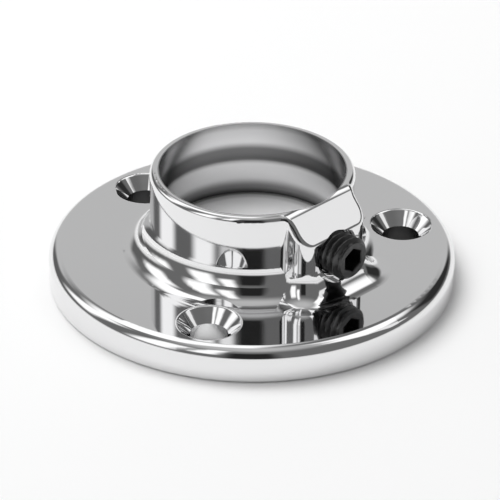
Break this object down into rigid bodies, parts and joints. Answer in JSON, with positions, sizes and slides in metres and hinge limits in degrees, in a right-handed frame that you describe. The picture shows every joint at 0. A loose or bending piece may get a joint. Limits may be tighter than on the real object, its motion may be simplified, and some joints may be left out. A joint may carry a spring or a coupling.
{
  "type": "tube base flange",
  "caption": "Round die-cast base flange: a countersunk mounting plate with a short collar that takes an upright tube and clamps it with a set screw.",
  "frame": {"origin": "centre of the mounting face, on the tube's axis", "axes": "+Z along the tube's axis away from the mounting face, +X along the set screw out of the boss, one wood screw hole on -X"},
  "size_m": [0.056, 0.056, 0.0166],
  "materials": {
    "bright_chrome": "bright chrome plate on a zinc die casting, mirror smooth with a faint waviness",
    "black_steel": "black oxide steel, slightly oily satin"
  },
  "bodies": {
    "flange": {"flange_body": "bright_chrome"},
    "screw": {"grub_screw": "black_steel"}
  },
  "joints": [
    {"name": "screw_travel", "type": "slide", "parent": "flange", "child": "screw", "axis": [1, 0, 0], "range_m": [-0.0012, 0.002]}
  ]
}
